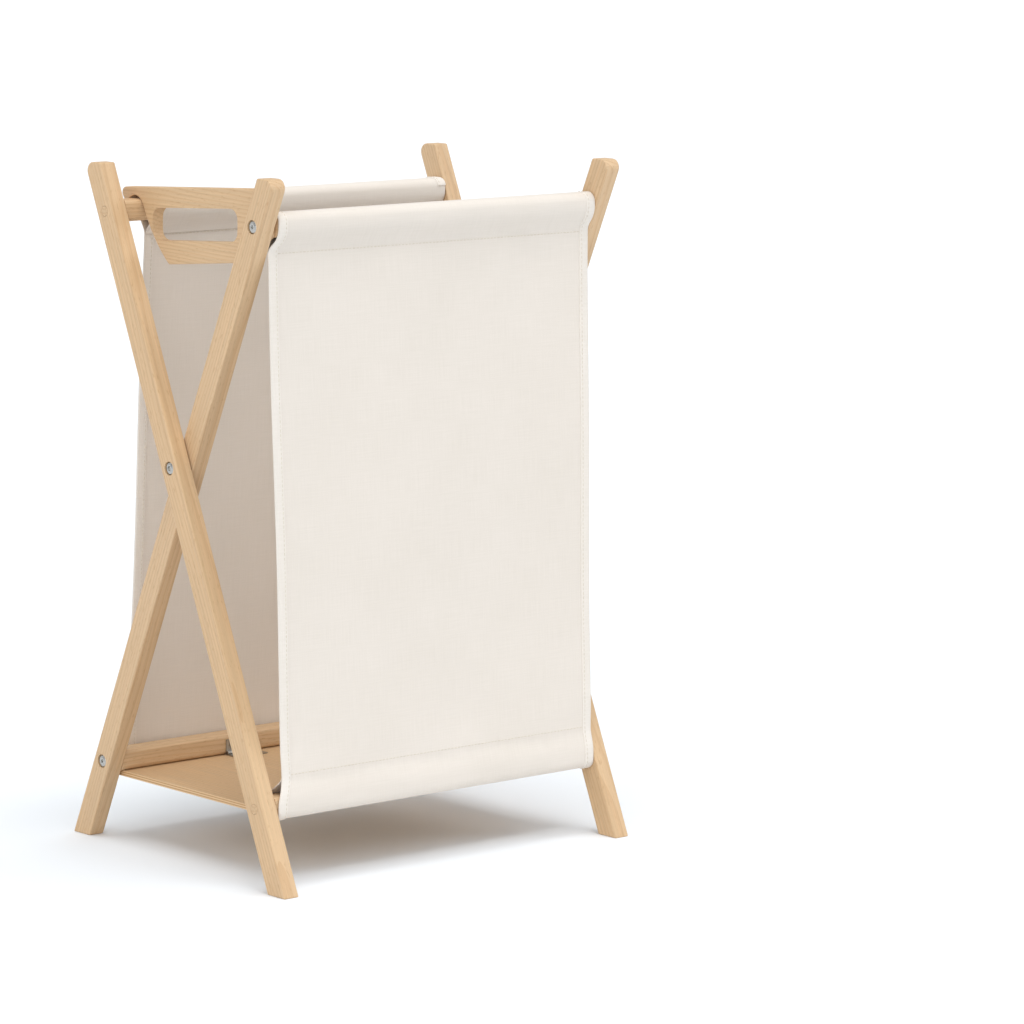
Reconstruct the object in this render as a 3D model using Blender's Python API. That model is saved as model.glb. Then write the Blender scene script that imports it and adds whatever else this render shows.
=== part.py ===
"""Folding X-frame laundry hamper: two crossing beech frames, a canvas front and back, a flip-up base.

X runs along the hamper, -Y is its front and Z is up. The floor is z = 0.
Frame A (front feet, back tops) stands still. Frame B crosses it and turns about the two pivot bolts.
"""
import math

import bmesh
import bpy
from mathutils import Vector
from mathutils.geometry import convex_hull_2d

# Driving sizes, in metres and radians
HEIGHT = 0.700
WIDTH = 0.476
LEG_LEAN = math.radians(23.3)
PIVOT_SHARE = 0.577
LEG_WIDTH = 0.0250
LEG_THICK = 0.0180
LEG_TOP_ROUND = 0.009
LEG_GAP = 0.0014
RAIL_TOP_DROP = 0.048
RAIL_BOTTOM_Z = 0.082
RAIL_SIZE = 0.022
RAIL_ROUND = 0.005
WOOD_EDGE = 0.0012
# Hardware
HEAD_D = 0.0132
HEAD_H = 0.0026
HEAD_SINK = 0.0004
SHANK_D = 0.0060
HEX_ACROSS = 0.0050
CROSS_ARM = 0.0040
CROSS_SLOT = 0.0014
RECESS_DEEP = 0.0014
BOLT_GRIP = 0.040
WASHER_D = 0.0180
WASHER_THICK = 0.0008
DOWEL_D = 0.0100
DOWEL_GRIP = 0.025
# Handle board
HANDLE_HEIGHT = 0.073
HANDLE_THICK = 0.0130
HANDLE_DROP = 0.0145
HANDLE_END = 0.011
HANDLE_TOP_END = 0.003
HANDLE_TONGUE = 0.0040
HANDLE_RECESS_D = 0.044
HAND_SLOT_START = 0.046
HAND_SLOT_LENGTH = 0.138
HAND_SLOT_HEIGHT = 0.033
HAND_SLOT_ROUND = 0.011
HOOK_PLAY = 0.0008
HANDLE_RATIO = 3.0
# Flip-up base board
BASE_THICK = 0.006
BASE_REACH = 0.228
BASE_UNDER = 0.020
BASE_CORNER = 0.004
HINGE_LENGTH = 0.040
HINGE_SPREAD = 0.092
HINGE_LEAF = 0.0010
HINGE_KNUCKLE_R = 0.0022
HINGE_PIN_D = 0.0020
RAIL_LEAF_HEIGHT = 0.0140
BASE_LEAF_DEPTH = 0.0180
SCREW_D = 0.0026
SCREW_HEAD_D = 0.0050
SCREW_HEAD_H = 0.0010
SCREW_LENGTH = 0.0050
# Canvas
FABRIC = 0.0017
HEM_FACE = 0.0010
BACK_FACE = RAIL_SIZE / 2 + 0.003
HEM_TAIL_TOP = 0.026
HEM_TAIL_BOTTOM = 0.029
BACK_TUCK = 0.009
BACK_TAPER = 0.0095
FABRIC_MARGIN = 0.0035
FABRIC_EDGE = 0.0015
BARE_END = 0.0035
PANEL_INSET = 0.0112
# Fits
TOUCH = 0.0003
SLIDE = 0.0004
ARC_STEPS = 6
TURN_STEPS = 32

# Places worked out from the sizes above
PIVOT_Z = round(HEIGHT * PIVOT_SHARE, 3)
RAIL_TOP_Z = HEIGHT - RAIL_TOP_DROP
TAN = math.tan(LEG_LEAN)
HALF_CUT = LEG_WIDTH / (2 * math.cos(LEG_LEAN))
HALF = WIDTH / 2
STEP_IN = LEG_THICK + LEG_GAP
HALF_RAIL = RAIL_SIZE / 2
# X spans of the four legs and of the rails that run between each frame's legs
LEG_X = {
    "a_left": (-HALF, -HALF + LEG_THICK),
    "b_left": (-HALF + STEP_IN, -HALF + STEP_IN + LEG_THICK),
    "a_right": (HALF - STEP_IN - LEG_THICK, HALF - STEP_IN),
    "b_right": (HALF - LEG_THICK, HALF),
}
HANDLE_X = (LEG_X["b_left"][1] + TOUCH, LEG_X["b_left"][1] + TOUCH + HANDLE_THICK)
RAIL_A_X = (LEG_X["a_left"][1] + TOUCH, LEG_X["a_right"][0] - TOUCH)
RAIL_B_X = (LEG_X["b_left"][1] + TOUCH, LEG_X["b_right"][0] - TOUCH)
TONGUE_INNER = HANDLE_X[0] + HANDLE_TONGUE
FABRIC_LEFT = TONGUE_INNER + FABRIC_MARGIN / 2
FABRIC_LEFT_PANEL = LEG_X["b_left"][1] + FABRIC_EDGE
FABRIC_LEFT_HEM_LOW = RAIL_A_X[0] + BARE_END
FABRIC_LEFT_LOW = RAIL_A_X[0] + PANEL_INSET
FABRIC_LEFT_BACK = HANDLE_X[1] + FABRIC_MARGIN / 2
FABRIC_RIGHT_A = LEG_X["a_right"][0] - FABRIC_EDGE
FABRIC_RIGHT_B = LEG_X["b_right"][0] - FABRIC_EDGE
BASE_X = (LEG_X["b_left"][1] + FABRIC_MARGIN, LEG_X["a_right"][0] - FABRIC_MARGIN)


def frame_y(frame, z):
    """Y of a frame's centre line at height z. Frame A leans back as it rises, frame B leans forward."""
    return (z - PIVOT_Z) * TAN * (1 if frame == "a" else -1)


RAILS = {
    "rail_top_back": ("a", RAIL_TOP_Z, RAIL_A_X),
    "rail_bottom_front": ("a", RAIL_BOTTOM_Z, RAIL_A_X),
    "rail_top_front": ("b", RAIL_TOP_Z, (TONGUE_INNER + TOUCH, RAIL_B_X[1])),
    "rail_bottom_back": ("b", RAIL_BOTTOM_Z, RAIL_B_X),
}
PIVOT = (0.0, PIVOT_Z)
HANDLE_PIVOT = (frame_y("b", RAIL_TOP_Z), RAIL_TOP_Z)
BASE_TOP_Z = RAIL_BOTTOM_Z - HALF_RAIL - TOUCH
HINGE_AXIS = (
    frame_y("b", RAIL_BOTTOM_Z) - HALF_RAIL - TOUCH - HINGE_KNUCKLE_R,
    BASE_TOP_Z + TOUCH + HINGE_KNUCKLE_R,
)


# Scene, materials and bodies
def clear_scene():
    for item in list(bpy.data.objects):
        bpy.data.objects.remove(item, do_unlink=True)


def material(name, color, roughness, metallic=0.0):
    made = bpy.data.materials.new(name)
    made.use_nodes = True
    shader = made.node_tree.nodes["Principled BSDF"]
    shader.inputs["Base Color"].default_value = (*color, 1.0)
    shader.inputs["Roughness"].default_value = roughness
    shader.inputs["Metallic"].default_value = metallic
    return made


def beech(name):
    return material("beech_" + name, (0.62, 0.42, 0.25), 0.55)


def steel(name):
    return material("steel_" + name, (0.60, 0.60, 0.58), 0.30, 1.0)


def canvas(name):
    return material("canvas_" + name, (0.80, 0.76, 0.69), 0.90)


def body(name, axis_yz, parent=None):
    """An empty on a joint's axis, which carries the pieces that turn about it."""
    empty = bpy.data.objects.new(name, None)
    bpy.context.collection.objects.link(empty)
    empty.parent = parent
    base = Vector((0, 0, 0)) if parent is None else parent["axis_point"]
    point = Vector((0, axis_yz[0], axis_yz[1]))
    empty.location = point - Vector(base)
    empty["axis_point"] = point
    return empty


def add_piece(name, mesh, owner, made_of):
    """Link a mesh modelled in world coordinates as a piece of the body that owns it."""
    piece = bpy.data.objects.new(name, mesh)
    bpy.context.collection.objects.link(piece)
    origin = Vector(owner["axis_point"])
    for vertex in mesh.vertices:
        vertex.co -= origin
    piece.parent = owner
    if made_of:
        mesh.materials.append(made_of)
    return piece


# Outlines in the Y-Z plane, counter-clockwise seen from +X
def rounded(corners):
    """Round each corner (y, z, radius) of an outline with an arc."""
    outline = []
    for index, (y, z, radius) in enumerate(corners):
        here = Vector((y, z))
        if radius <= 0:
            outline.append(here)
            continue
        before = (Vector(corners[index - 1][:2]) - here).normalized()
        after = (Vector(corners[(index + 1) % len(corners)][:2]) - here).normalized()
        half_angle = before.angle(after) / 2
        centre = here + (before + after).normalized() * radius / math.sin(half_angle)
        start = here + before * radius / math.tan(half_angle) - centre
        sweep = (math.pi - 2 * half_angle) * (1 if before.x * after.y < before.y * after.x else -1)
        for step in range(ARC_STEPS + 1):
            turn = sweep * step / ARC_STEPS
            cos, sin = math.cos(turn), math.sin(turn)
            outline.append(centre + Vector((start.x * cos - start.y * sin, start.x * sin + start.y * cos)))
    return outline


def rounded_box(centre, half_y, half_z, radius):
    y, z = centre
    return rounded([
        (y - half_y, z - half_z, radius),
        (y + half_y, z - half_z, radius),
        (y + half_y, z + half_z, radius),
        (y - half_y, z + half_z, radius),
    ])


def circle(centre, radius, steps=TURN_STEPS, start=0.0):
    return [
        Vector((
            centre[0] + radius * math.cos(start + 2 * math.pi * step / steps),
            centre[1] + radius * math.sin(start + 2 * math.pi * step / steps),
        ))
        for step in range(steps)
    ]


# Solids
def prism_mesh(name, outline, x_span, span_at=None):
    """Extrude an outline along X. span_at(z) may give both ends' X at each height instead."""
    mesh = bpy.data.meshes.new(name)
    bm = bmesh.new()
    spans = [span_at(p.y) if span_at else x_span for p in outline]
    left = [bm.verts.new((span[0], p.x, p.y)) for p, span in zip(outline, spans)]
    right = [bm.verts.new((span[1], p.x, p.y)) for p, span in zip(outline, spans)]
    bm.faces.new(list(reversed(left)))
    bm.faces.new(right)
    count = len(outline)
    for index in range(count):
        following = (index + 1) % count
        bm.faces.new((left[index], left[following], right[following], right[index]))
    bm.to_mesh(mesh)
    bm.free()
    return mesh


def turned_mesh(name, centre, profile):
    """Turn a profile of (x, radius) points about an axis along X; it starts and ends at radius 0."""
    mesh = bpy.data.meshes.new(name)
    bm = bmesh.new()
    rings = []
    for x, radius in profile:
        if radius == 0:
            rings.append([bm.verts.new((x, centre[0], centre[1]))])
        else:
            rings.append([bm.verts.new((x, p.x, p.y)) for p in circle(centre, radius)])
    for first, second in zip(rings, rings[1:]):
        for index in range(TURN_STEPS):
            following = (index + 1) % TURN_STEPS
            corners = [first[index % len(first)], first[following % len(first)],
                       second[following % len(second)], second[index % len(second)]]
            bm.faces.new(list(dict.fromkeys(corners)))
    bmesh.ops.recalc_face_normals(bm, faces=bm.faces)
    bm.to_mesh(mesh)
    bm.free()
    return mesh


def cut(piece, owner, name, mesh):
    """Take a hidden cutter's volume out of a piece."""
    cutter = add_piece(name, mesh, owner, None)
    cutter.hide_render = True
    cutter.display_type = "WIRE"
    boolean = piece.modifiers.new(name, "BOOLEAN")
    boolean.operation = "DIFFERENCE"
    boolean.solver = "EXACT"
    boolean.object = cutter


def soften(piece, width=WOOD_EDGE):
    bevel = piece.modifiers.new("eased_edges", "BEVEL")
    bevel.width = width
    bevel.segments = 2
    bevel.limit_method = "ANGLE"
    bevel.angle_limit = math.radians(40)


def smooth(piece):
    piece.data.shade_smooth()
    piece.data.set_sharp_from_angle(angle=math.radians(40))


def bore(piece, owner, centre, diameter, x_from, x_to, label):
    outline = circle(centre, diameter / 2)
    name = f"cutter_{piece.name}_{label}"
    cut(piece, owner, name, prism_mesh(name, outline, (min(x_from, x_to), max(x_from, x_to))))


# Legs
def leg_outline(frame):
    lean = 1 if frame == "a" else -1
    foot = frame_y(frame, 0.0)
    top = frame_y(frame, HEIGHT)
    inner_round = 0.0 if lean > 0 else LEG_TOP_ROUND
    outer_round = LEG_TOP_ROUND if lean > 0 else 0.0
    return rounded([
        (foot - HALF_CUT, 0.0, 0.0),
        (foot + HALF_CUT, 0.0, 0.0),
        (top + HALF_CUT, HEIGHT, outer_round),
        (top - HALF_CUT, HEIGHT, inner_round),
    ])


def counterbore(piece, owner, centre, face_x, inward, label):
    """A through hole for a bolt's shank with a sunk seat for its head."""
    bore(piece, owner, centre, HEAD_D + 2 * SLIDE, face_x - inward * LEG_THICK / 2,
         face_x + inward * (HEAD_H + HEAD_SINK + TOUCH), label + "_seat")


def make_leg(place, owner):
    frame = place[0]
    span = LEG_X[place]
    leg = add_piece("leg_" + place, prism_mesh("leg_" + place, leg_outline(frame), span), owner, beech(place))
    soften(leg)
    left_end = place.endswith("left")
    outward = -1 if left_end else 1
    outer = span[0] if left_end else span[1]
    through = (span[0] - LEG_THICK, span[1] + LEG_THICK)
    bore(leg, owner, PIVOT, SHANK_D + 2 * SLIDE, *through, "pivot")
    outermost = abs(outer) > HALF - LEG_THICK / 2
    seat_face = outer if outermost else (span[1] if left_end else span[0])
    counterbore(leg, owner, PIVOT, seat_face, -outward if outermost else outward, "pivot")
    for label, z in (("top", RAIL_TOP_Z), ("bottom", RAIL_BOTTOM_Z)):
        centre = (frame_y(frame, z), z)
        if frame == "a":
            bore(leg, owner, centre, DOWEL_D + 2 * TOUCH, *through, label + "_dowel")
        else:
            bore(leg, owner, centre, SHANK_D + 2 * SLIDE, *through, label)
            counterbore(leg, owner, centre, outer, -outward, label)
    return leg


# Rails and what holds them
def make_rail(name, owner):
    frame, z, span = RAILS[name]
    centre = (frame_y(frame, z), z)
    outline = rounded_box(centre, HALF_RAIL, HALF_RAIL, RAIL_ROUND)
    rail = add_piece(name, prism_mesh(name, outline, span), owner, beech(name))
    soften(rail, WOOD_EDGE / 2)
    hole = DOWEL_D + 2 * TOUCH if frame == "a" else SHANK_D + 2 * TOUCH
    deep = DOWEL_GRIP + TOUCH if frame == "a" else BOLT_GRIP + TOUCH
    bore(rail, owner, centre, hole, span[0] - LEG_THICK, span[0] + deep, "left")
    bore(rail, owner, centre, hole, span[1] + LEG_THICK, span[1] - deep, "right")
    smooth(rail)
    return rail


def make_dowel(rail_name, end, owner):
    """A dowel driven through frame A's leg into the rail, cut flush with the leg."""
    _, z, span = RAILS[rail_name]
    centre = (frame_y("a", z), z)
    outer = LEG_X["a_" + end][0 if end == "left" else 1]
    inner = span[0] + DOWEL_GRIP if end == "left" else span[1] - DOWEL_GRIP
    name = rail_name.replace("rail", "dowel") + "_" + end
    chamfer = math.copysign(WOOD_EDGE, inner - outer)
    radius = DOWEL_D / 2
    profile = [(outer, 0), (outer, radius), (inner - chamfer, radius), (inner, radius - WOOD_EDGE), (inner, 0)]
    dowel = add_piece(name, turned_mesh(name, centre, profile), owner, beech(name))
    smooth(dowel)


def bolt_profile(outer, inward, length):
    """A low domed head sunk under the leg's face, and a plain shank with a blunt end."""
    top = outer + inward * HEAD_SINK
    seat = top + inward * HEAD_H
    end = outer + inward * length
    return [
        (top, 0),
        (top, HEAD_D * 0.28),
        (top + inward * HEAD_H * 0.18, HEAD_D * 0.41),
        (top + inward * HEAD_H * 0.50, HEAD_D * 0.5),
        (seat, HEAD_D * 0.5),
        (seat, SHANK_D / 2),
        (end - inward * SHANK_D / 6, SHANK_D / 2),
        (end, SHANK_D / 3),
        (end, 0),
    ]


def recess(piece, owner, centre, face_x, inward, corners):
    name = "cutter_" + piece.name + "_recess"
    span = sorted((face_x - inward * HEAD_H, face_x + inward * (HEAD_SINK + RECESS_DEEP)))
    cut(piece, owner, name, prism_mesh(name, corners, span))


def cross_outline(centre):
    arm, slot = CROSS_ARM / 2, CROSS_SLOT / 2
    offsets = [(-arm, -slot), (-slot, -slot), (-slot, -arm), (slot, -arm), (slot, -slot), (arm, -slot),
               (arm, slot), (slot, slot), (slot, arm), (-slot, arm), (-slot, slot), (-arm, slot)]
    return [Vector((centre[0] + y, centre[1] + z)) for y, z in offsets]


def make_rail_bolt(rail_name, end, owner):
    _, z, span = RAILS[rail_name]
    centre = (frame_y("b", z), z)
    left = end == "left"
    outer = LEG_X["b_" + end][0 if left else 1]
    inward = 1 if left else -1
    inner = span[0] if left else span[1]
    length = abs(inner - outer) + BOLT_GRIP
    name = rail_name.replace("rail", "bolt") + "_" + end
    bolt = add_piece(name, turned_mesh(name, centre, bolt_profile(outer, inward, length)), owner, steel(name))
    recess(bolt, owner, centre, outer, inward, cross_outline(centre))
    smooth(bolt)


def make_pivot(end, owner):
    """Bolt, washer and cap nut where a leg of each frame crosses."""
    left = end == "left"
    inward = 1 if left else -1
    outer = -HALF if left else HALF
    far = outer + inward * (LEG_THICK + STEP_IN)
    nut_seat = far - inward * (HEAD_H + HEAD_SINK)
    length = abs(nut_seat - outer) - TOUCH
    name = "pivot_bolt_" + end
    bolt = add_piece(name, turned_mesh(name, PIVOT, bolt_profile(outer, inward, length)), owner, steel(name))
    recess(bolt, owner, PIVOT, outer, inward, circle(PIVOT, HEX_ACROSS / math.sqrt(3), 6))
    smooth(bolt)
    make_nut("pivot_nut_" + end, far, inward, nut_seat, owner)
    middle = outer + inward * (LEG_THICK + LEG_GAP / 2)
    washer_x = (middle - WASHER_THICK / 2, middle + WASHER_THICK / 2)
    name = "pivot_washer_" + end
    washer = add_piece(name, prism_mesh(name, circle(PIVOT, WASHER_D / 2), washer_x), owner, steel(name))
    bore(washer, owner, PIVOT, SHANK_D + 2 * SLIDE, washer_x[0] - LEG_GAP, washer_x[1] + LEG_GAP, "hole")
    smooth(washer)


def make_nut(name, far, inward, seat, owner):
    top = far - inward * HEAD_SINK
    profile = [(seat, 0), (seat, HEAD_D / 2), (top - inward * HEAD_H / 2, HEAD_D / 2),
               (top, HEAD_D * 0.36), (top, 0)]
    nut = add_piece(name, turned_mesh(name, PIVOT, profile), owner, steel(name))
    recess(nut, owner, PIVOT, far, -inward, circle(PIVOT, HEX_ACROSS / math.sqrt(3), 6))
    smooth(nut)


# Handle board
def saddle_side(clear, depth):
    """The saddle's inner side, down to a depth below the bolt: the edge of the rail's way out.

    As the frames fold, the rail comes along the chord between the two top rails and drops below
    the board, which swings up. Each point lies a clear radius to the bolt's side of that way.
    """
    reach = (RAIL_TOP_Z - PIVOT_Z) / math.cos(LEG_LEAN)

    def rail_at(fold):
        chord = 2 * reach * math.sin(LEG_LEAN - fold / 2)
        drop = (HANDLE_RATIO - 0.5) * fold
        return Vector((chord * math.cos(drop), -chord * math.sin(drop)))

    side = []
    step = math.radians(0.5)
    fold = 0.0
    while not side or side[-1].y > -depth:
        way = (rail_at(fold + step) - rail_at(fold)).normalized()
        side.append(rail_at(fold) + Vector((way.y, -way.x)) * clear)
        fold += step
    last, before = side[-1], side[-2]
    side[-1] = before.lerp(last, (before.y + depth) / (before.y - last.y))
    return side


def handle_fall(along):
    """How far the board's edges have dropped at a distance from its bolt, towards the back rail."""
    return HANDLE_DROP * along / (2 * frame_y("a", RAIL_TOP_Z))


def handle_outline():
    """A board bolted inside frame B's leg, whose far end sits over frame A's top rail."""
    pivot_y, pivot_z = HANDLE_PIVOT
    half = HANDLE_HEIGHT / 2
    rail_u = frame_y("a", RAIL_TOP_Z) - pivot_y
    clear = math.hypot(HALF_RAIL, HALF_RAIL) - RAIL_ROUND * (math.sqrt(2) - 1) + HOOK_PLAY
    side = saddle_side(clear, half + HANDLE_DROP)
    first = math.atan2(side[0].y, side[0].x - rail_u)
    last = math.radians(26)
    lip = clear * math.sin(last)
    back_edge = rail_u + HALF_CUT - WOOD_EDGE
    front_foot = half * TAN + HALF_CUT
    corners = [(front_foot, -half - handle_fall(front_foot), 0.004)]
    corners += [(point.x, point.y, 0.0) for point in reversed(side)]
    steps = ARC_STEPS * 2
    for step in range(1, steps + 1):
        angle = first + (last - first) * step / steps
        corners.append((rail_u + clear * math.cos(angle), clear * math.sin(angle), 0.0))
    corners += [
        (back_edge + lip * TAN, lip, 0.0),
        (back_edge + half * TAN, half - handle_fall(back_edge), 0.006),
        (-HANDLE_TOP_END, half, 0.006),
        (-HANDLE_END * 0.7, -HANDLE_END * 0.9, 0.007),
    ]
    return rounded([(pivot_y + u, pivot_z + v, radius) for u, v, radius in corners])


def make_handle(owner):
    board = add_piece("handle_board", prism_mesh("handle_board", handle_outline(), HANDLE_X), owner,
                      beech("handle"))
    soften(board)
    wide = (HANDLE_X[0] - LEG_THICK, HANDLE_X[1] + LEG_THICK)
    near, far = HAND_SLOT_START, HAND_SLOT_START + HAND_SLOT_LENGTH
    slot = []
    for along, side in ((near, -1), (far, -1), (far, 1), (near, 1)):
        height = HANDLE_PIVOT[1] - handle_fall(along) + side * HAND_SLOT_HEIGHT / 2
        slot.append((HANDLE_PIVOT[0] + along, height, HAND_SLOT_ROUND))
    slot = rounded(slot)
    name = "cutter_hand_slot"
    cut(board, owner, name, prism_mesh(name, slot, wide))
    bore(board, owner, HANDLE_PIVOT, SHANK_D + 2 * SLIDE, *wide, "bolt")
    bore(board, owner, HANDLE_PIVOT, HANDLE_RECESS_D, TONGUE_INNER, wide[1], "recess")
    return board


# Base board and its two hinges
def make_base(owner):
    back = HINGE_AXIS[0] + BASE_UNDER
    front = HINGE_AXIS[0] - BASE_REACH
    outline = [Vector(p) for p in (
        (front, BASE_TOP_Z - BASE_THICK), (back, BASE_TOP_Z - BASE_THICK), (back, BASE_TOP_Z), (front, BASE_TOP_Z),
    )]
    board = add_piece("base_board", prism_mesh("base_board", outline, BASE_X), owner, beech("base"))
    soften(board, WOOD_EDGE / 2)
    for screw_x in hinge_screw_xs():
        bore_z(board, owner, screw_x, BASE_SCREW_Y, BASE_TOP_Z - SCREW_LENGTH, BASE_TOP_Z + BASE_THICK)
    return board


BASE_SCREW_Y = HINGE_AXIS[0] - HINGE_KNUCKLE_R - (BASE_LEAF_DEPTH - HINGE_KNUCKLE_R) / 2
RAIL_SCREW_Z = HINGE_AXIS[1] + (RAIL_LEAF_HEIGHT + HINGE_KNUCKLE_R) / 2


def hinge_screw_xs():
    return [side * HINGE_SPREAD / 2 + offset * HINGE_LENGTH / 3 for side in (-1, 1) for offset in (-1, 1)]


def disc_mesh(name, centre, axis, profile):
    """Turn a profile of (height, radius) points about an axis along Z or Y through a point."""
    mesh = turned_mesh(name, (0.0, 0.0), profile)
    for vertex in mesh.vertices:
        height, across, other = vertex.co
        if axis == "z":
            vertex.co = (centre[0] + across, centre[1] + other, centre[2] + height)
        else:
            vertex.co = (centre[0] + across, centre[1] - height, centre[2] + other)
    return mesh


def bore_z(piece, owner, x, y, z_from, z_to):
    name = f"cutter_{piece.name}_z_{round(x * 1e4)}"
    radius = SCREW_D / 2 + TOUCH
    profile = [(0, 0), (0, radius), (z_to - z_from, radius), (z_to - z_from, 0)]
    cut(piece, owner, name, disc_mesh(name, (x, y, z_from), "z", profile))


def bore_y(piece, owner, x, z, y_from, y_to):
    name = f"cutter_{piece.name}_y_{round(x * 1e4)}"
    radius = SCREW_D / 2 + TOUCH
    profile = [(0, 0), (0, radius), (y_from - y_to, radius), (y_from - y_to, 0)]
    cut(piece, owner, name, disc_mesh(name, (x, y_from, z), "y", profile))


def make_hinge(side, base_owner, rail_owner):
    """A small butt hinge: one leaf on the rail's face, one on the board, and a pin."""
    label = "left" if side < 0 else "right"
    middle = side * HINGE_SPREAD / 2
    half = HINGE_LENGTH / 2
    third = HINGE_LENGTH / 3
    make_rail_leaf("hinge_rail_leaf_" + label, middle, half, third, rail_owner)
    make_base_leaf("hinge_base_leaf_" + label, middle, third, base_owner)
    radius = HINGE_PIN_D / 2
    span = (middle - half, middle + half)
    name = "hinge_pin_" + label
    pin = add_piece(name, turned_mesh(name, HINGE_AXIS, [(span[0], 0), (span[0], radius), (span[1], radius),
                                                         (span[1], 0)]), rail_owner, steel(name))
    smooth(pin)


def knuckle_outline(direction, reach):
    """A leaf's side view: a round knuckle on the pin with a flat plate that runs up (1) or forward (0)."""
    y, z = HINGE_AXIS
    radius = HINGE_KNUCKLE_R
    plate = HINGE_LEAF
    if direction == 1:
        arc = [(y + radius * math.cos(a), z + radius * math.sin(a))
               for a in (math.radians(100 + 260 * step / 20) for step in range(21))]
        points = arc + [(y + radius, z + reach), (y + radius - plate, z + reach),
                        (y + radius - plate, z + radius * 0.8)]
    else:
        arc = [(y + radius * math.cos(a), z + radius * math.sin(a))
               for a in (math.radians(-90 + 260 * step / 20) for step in range(21))]
        points = arc + [(y - radius * 0.8, z - radius + plate), (y - reach, z - radius + plate),
                        (y - reach, z - radius)]
    return [Vector(p) for p in points]


def make_rail_leaf(name, middle, half, third, owner):
    outline = knuckle_outline(1, RAIL_LEAF_HEIGHT)
    leaf = add_piece(name, prism_mesh(name, outline, (middle - half, middle + half)), owner, steel(name))
    y, z = HINGE_AXIS
    room = HINGE_KNUCKLE_R + SLIDE
    gap = [Vector(p) for p in ((y - 2 * room, z - 2 * room), (y + 2 * room, z - 2 * room),
                               (y + 2 * room, z + room), (y - 2 * room, z + room))]
    cut(leaf, owner, "cutter_" + name, prism_mesh("cutter_" + name, gap,
                                                  (middle - third / 2 - SLIDE, middle + third / 2 + SLIDE)))
    bore(leaf, owner, HINGE_AXIS, HINGE_PIN_D + 2 * TOUCH, middle - HINGE_LENGTH, middle + HINGE_LENGTH, "pin")
    for x in (middle - third, middle + third):
        bore_y(leaf, owner, x, RAIL_SCREW_Z, y + 2 * HINGE_KNUCKLE_R, y - 2 * HINGE_KNUCKLE_R)
    smooth(leaf)


def make_base_leaf(name, middle, third, owner):
    outline = knuckle_outline(0, BASE_LEAF_DEPTH)
    leaf = add_piece(name, prism_mesh(name, outline, (middle - HINGE_LENGTH / 2, middle + HINGE_LENGTH / 2)),
                     owner, steel(name))
    y, z = HINGE_AXIS
    room = HINGE_KNUCKLE_R + SLIDE
    gap = [Vector(p) for p in ((y - room, z - 2 * room), (y + 2 * room, z - 2 * room),
                               (y + 2 * room, z + 2 * room), (y - room, z + 2 * room))]
    for side in (-1, 1):
        span = sorted((middle + side * (third / 2), middle + side * HINGE_LENGTH))
        cutter = f"cutter_{name}_{side}"
        cut(leaf, owner, cutter, prism_mesh(cutter, gap, span))
    bore(leaf, owner, HINGE_AXIS, HINGE_PIN_D + 2 * TOUCH, middle - HINGE_LENGTH, middle + HINGE_LENGTH, "pin")
    for x in (middle - third, middle + third):
        bore_z(leaf, owner, x, BASE_SCREW_Y, z - 2 * HINGE_KNUCKLE_R, z + 2 * HINGE_KNUCKLE_R)
    smooth(leaf)


def make_screws(base_owner, rail_owner):
    shank = SCREW_D / 2
    head = SCREW_HEAD_D / 2
    for index, x in enumerate(hinge_screw_xs()):
        long = SCREW_LENGTH - 3 * TOUCH
        profile = [(-long, 0), (-long, shank), (0, shank), (0, head), (SCREW_HEAD_H * 0.4, head),
                   (SCREW_HEAD_H, head * 0.6), (SCREW_HEAD_H, 0)]
        name = f"base_screw_{index + 1}"
        seat = HINGE_AXIS[1] - HINGE_KNUCKLE_R + HINGE_LEAF + TOUCH
        screw = add_piece(name, disc_mesh(name, (x, BASE_SCREW_Y, seat), "z", profile), base_owner, steel(name))
        smooth(screw)
        name = f"rail_screw_{index + 1}"
        seat = HINGE_AXIS[0] + HINGE_KNUCKLE_R - HINGE_LEAF - TOUCH
        screw = add_piece(name, disc_mesh(name, (x, seat, RAIL_SCREW_Z), "y", profile), rail_owner, steel(name))
        smooth(screw)


def bore_rail_for_hinges(rail, owner):
    y, _ = HINGE_AXIS
    for x in hinge_screw_xs():
        bore_y(rail, owner, x, RAIL_SCREW_Z, y + HINGE_KNUCKLE_R + SCREW_LENGTH, y)


# Canvas hems and panels
def side_line(front):
    """The rail centres that a panel runs between, its downward direction and its outward direction."""
    top_frame, bottom_frame = ("b", "a") if front else ("a", "b")
    top = Vector((frame_y(top_frame, RAIL_TOP_Z), RAIL_TOP_Z))
    bottom = Vector((frame_y(bottom_frame, RAIL_BOTTOM_Z), RAIL_BOTTOM_Z))
    down = (bottom - top).normalized()
    outward = Vector((down.y, -down.x)) if front else Vector((-down.y, down.x))
    return top, bottom, down, outward


def make_hem(name, front, at_top, x_span, owner):
    """A canvas sleeve round a rail, with a flat tail where its two layers are stitched together."""
    top, bottom, down, outward = side_line(front)
    centre = top if at_top else bottom
    along = down if at_top else -down
    tail = HEM_TAIL_TOP if at_top else HEM_TAIL_BOTTOM
    wall = TOUCH + FABRIC
    loop = rounded_box(centre, HALF_RAIL + wall, HALF_RAIL + wall, RAIL_ROUND + wall)
    tips = [centre + along * tail + outward * reach for reach in (HEM_FACE, HEM_FACE - 1.5 * FABRIC)]
    points = loop + tips
    outline = [points[index] for index in convex_hull_2d(points)]
    if signed_area(outline) < 0:
        outline.reverse()
    hem = add_piece(name, prism_mesh(name, outline, x_span), owner, canvas(name))
    inner = rounded_box(centre, HALF_RAIL + TOUCH, HALF_RAIL + TOUCH, RAIL_ROUND + TOUCH)
    cutter = "cutter_" + name
    cut(hem, owner, cutter, prism_mesh(cutter, inner, (x_span[0] - LEG_WIDTH, x_span[1] + LEG_WIDTH)))
    return hem


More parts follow.
